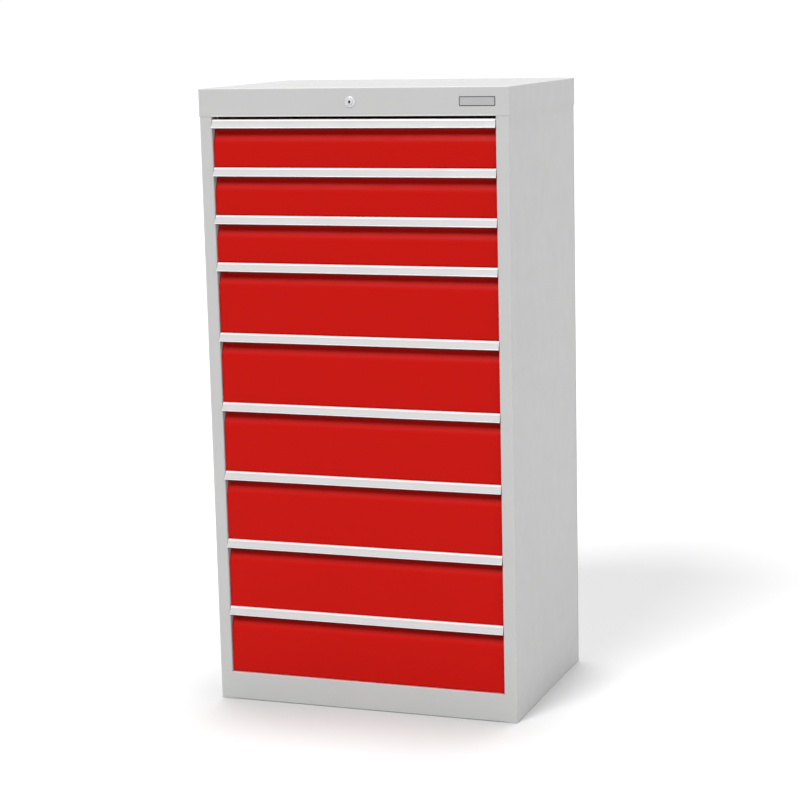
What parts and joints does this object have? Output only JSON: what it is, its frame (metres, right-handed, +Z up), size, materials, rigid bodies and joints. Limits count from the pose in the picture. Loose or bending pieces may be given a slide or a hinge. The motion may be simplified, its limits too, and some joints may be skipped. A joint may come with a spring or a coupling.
{
  "type": "microscope slide cabinet",
  "caption": "Tall free-standing steel cabinet with a stack of full-width drawers on roller runners, a grip strip on each front and a central lock in the top band.",
  "frame": {"origin": "on the floor under the middle of the cabinet's bounding box", "axes": "+Z up; the drawers open towards -Y; +X is to the right when facing the fronts"},
  "size_m": [0.68, 0.4852, 1.322],
  "materials": {
    "casing_paint": "light grey powder coat",
    "front_paint": "red powder coat",
    "tray_paint": "light grey powder coat",
    "handle_aluminium": "anodised extrusion",
    "zinc_steel": "zinc plated",
    "roller_steel": "turned steel",
    "lock_chrome": "satin chrome",
    "plate_aluminium": "blank satin plate",
    "guide_plastic": "black moulding",
    "screw_steel": "zinc plated"
  },
  "bodies": {
    "cabinet": {"side_panel_left": "casing_paint", "side_panel_right": "casing_paint", "top_cover": "casing_paint", "back_panel": "casing_paint", "base_panel": "casing_paint", "mounting_uprights": "zinc_steel", "cabinet_rails_left": "zinc_steel", "cabinet_rails_right": "zinc_steel", "lock_housing": "lock_chrome", "bar_guides": "guide_plastic", "nameplate": "plate_aluminium", "casing_screws": "screw_steel"},
    "lock": {"lock_plug": "lock_chrome", "lock_cam": "zinc_steel"},
    "locking_bar": {"locking_bar": "zinc_steel"},
    "drawer_1": {"drawer_1_tray": "tray_paint", "drawer_1_front": "front_paint", "drawer_1_handle": "handle_aluminium"},
    "carriage_1": {"drawer_1_carriage": "roller_steel"},
    "drawer_2": {"drawer_2_tray": "tray_paint", "drawer_2_front": "front_paint", "drawer_2_handle": "handle_aluminium"},
    "carriage_2": {"drawer_2_carriage": "roller_steel"},
    "drawer_3": {"drawer_3_tray": "tray_paint", "drawer_3_front": "front_paint", "drawer_3_handle": "handle_aluminium"},
    "carriage_3": {"drawer_3_carriage": "roller_steel"},
    "drawer_4": {"drawer_4_tray": "tray_paint", "drawer_4_front": "front_paint", "drawer_4_handle": "handle_aluminium"},
    "carriage_4": {"drawer_4_carriage": "roller_steel"},
    "drawer_5": {"drawer_5_tray": "tray_paint", "drawer_5_front": "front_paint", "drawer_5_handle": "handle_aluminium"},
    "carriage_5": {"drawer_5_carriage": "roller_steel"},
    "drawer_6": {"drawer_6_tray": "tray_paint", "drawer_6_front": "front_paint", "drawer_6_handle": "handle_aluminium"},
    "carriage_6": {"drawer_6_carriage": "roller_steel"},
    "drawer_7": {"drawer_7_tray": "tray_paint", "drawer_7_front": "front_paint", "drawer_7_handle": "handle_aluminium"},
    "carriage_7": {"drawer_7_carriage": "roller_steel"},
    "drawer_8": {"drawer_8_tray": "tray_paint", "drawer_8_front": "front_paint", "drawer_8_handle": "handle_aluminium"},
    "carriage_8": {"drawer_8_carriage": "roller_steel"},
    "drawer_9": {"drawer_9_tray": "tray_paint", "drawer_9_front": "front_paint", "drawer_9_handle": "handle_aluminium"},
    "carriage_9": {"drawer_9_carriage": "roller_steel"}
  },
  "joints": [
    {"name": "locking_bar_lift", "type": "slide", "parent": "cabinet", "child": "locking_bar", "axis": [0, 0, 1], "range_m": [0, 0.01414]},
    {"name": "lock_turn", "type": "hinge", "parent": "cabinet", "child": "lock", "pos_m": [0, -0.23743, 1.29275], "axis": [0, -1, 0], "range_deg": [0, 90.01]},
    {"name": "drawer_1_slide", "type": "slide", "parent": "cabinet", "child": "drawer_1", "axis": [0, -1, 0], "range_m": [0, 0.395]},
    {"name": "carriage_1_slide", "type": "slide", "parent": "cabinet", "child": "carriage_1", "axis": [0, -1, 0], "range_m": [0, 0.19751]},
    {"name": "drawer_2_slide", "type": "slide", "parent": "cabinet", "child": "drawer_2", "axis": [0, -1, 0], "range_m": [0, 0.395]},
    {"name": "carriage_2_slide", "type": "slide", "parent": "cabinet", "child": "carriage_2", "axis": [0, -1, 0], "range_m": [0, 0.19751]},
    {"name": "drawer_3_slide", "type": "slide", "parent": "cabinet", "child": "drawer_3", "axis": [0, -1, 0], "range_m": [0, 0.395]},
    {"name": "carriage_3_slide", "type": "slide", "parent": "cabinet", "child": "carriage_3", "axis": [0, -1, 0], "range_m": [0, 0.19751]},
    {"name": "drawer_4_slide", "type": "slide", "parent": "cabinet", "child": "drawer_4", "axis": [0, -1, 0], "range_m": [0, 0.395]},
    {"name": "carriage_4_slide", "type": "slide", "parent": "cabinet", "child": "carriage_4", "axis": [0, -1, 0], "range_m": [0, 0.19751]},
    {"name": "drawer_5_slide", "type": "slide", "parent": "cabinet", "child": "drawer_5", "axis": [0, -1, 0], "range_m": [0, 0.395]},
    {"name": "carriage_5_slide", "type": "slide", "parent": "cabinet", "child": "carriage_5", "axis": [0, -1, 0], "range_m": [0, 0.19751]},
    {"name": "drawer_6_slide", "type": "slide", "parent": "cabinet", "child": "drawer_6", "axis": [0, -1, 0], "range_m": [0, 0.395]},
    {"name": "carriage_6_slide", "type": "slide", "parent": "cabinet", "child": "carriage_6", "axis": [0, -1, 0], "range_m": [0, 0.19751]},
    {"name": "drawer_7_slide", "type": "slide", "parent": "cabinet", "child": "drawer_7", "axis": [0, -1, 0], "range_m": [0, 0.395]},
    {"name": "carriage_7_slide", "type": "slide", "parent": "cabinet", "child": "carriage_7", "axis": [0, -1, 0], "range_m": [0, 0.19751]},
    {"name": "drawer_8_slide", "type": "slide", "parent": "cabinet", "child": "drawer_8", "axis": [0, -1, 0], "range_m": [0, 0.395]},
    {"name": "carriage_8_slide", "type": "slide", "parent": "cabinet", "child": "carriage_8", "axis": [0, -1, 0], "range_m": [0, 0.19751]},
    {"name": "drawer_9_slide", "type": "slide", "parent": "cabinet", "child": "drawer_9", "axis": [0, -1, 0], "range_m": [0, 0.395]},
    {"name": "carriage_9_slide", "type": "slide", "parent": "cabinet", "child": "carriage_9", "axis": [0, -1, 0], "range_m": [0, 0.19751]}
  ],
  "couplings": [
    {"joint": "lock_turn", "follows": "locking_bar_lift", "rad_per_m": 111.07},
    {"joint": "carriage_1_slide", "follows": "drawer_1_slide", "ratio": 0.5},
    {"joint": "carriage_2_slide", "follows": "drawer_2_slide", "ratio": 0.5},
    {"joint": "carriage_3_slide", "follows": "drawer_3_slide", "ratio": 0.5},
    {"joint": "carriage_4_slide", "follows": "drawer_4_slide", "ratio": 0.5},
    {"joint": "carriage_5_slide", "follows": "drawer_5_slide", "ratio": 0.5},
    {"joint": "carriage_6_slide", "follows": "drawer_6_slide", "ratio": 0.5},
    {"joint": "carriage_7_slide", "follows": "drawer_7_slide", "ratio": 0.5},
    {"joint": "carriage_8_slide", "follows": "drawer_8_slide", "ratio": 0.5},
    {"joint": "carriage_9_slide", "follows": "drawer_9_slide", "ratio": 0.5}
  ]
}
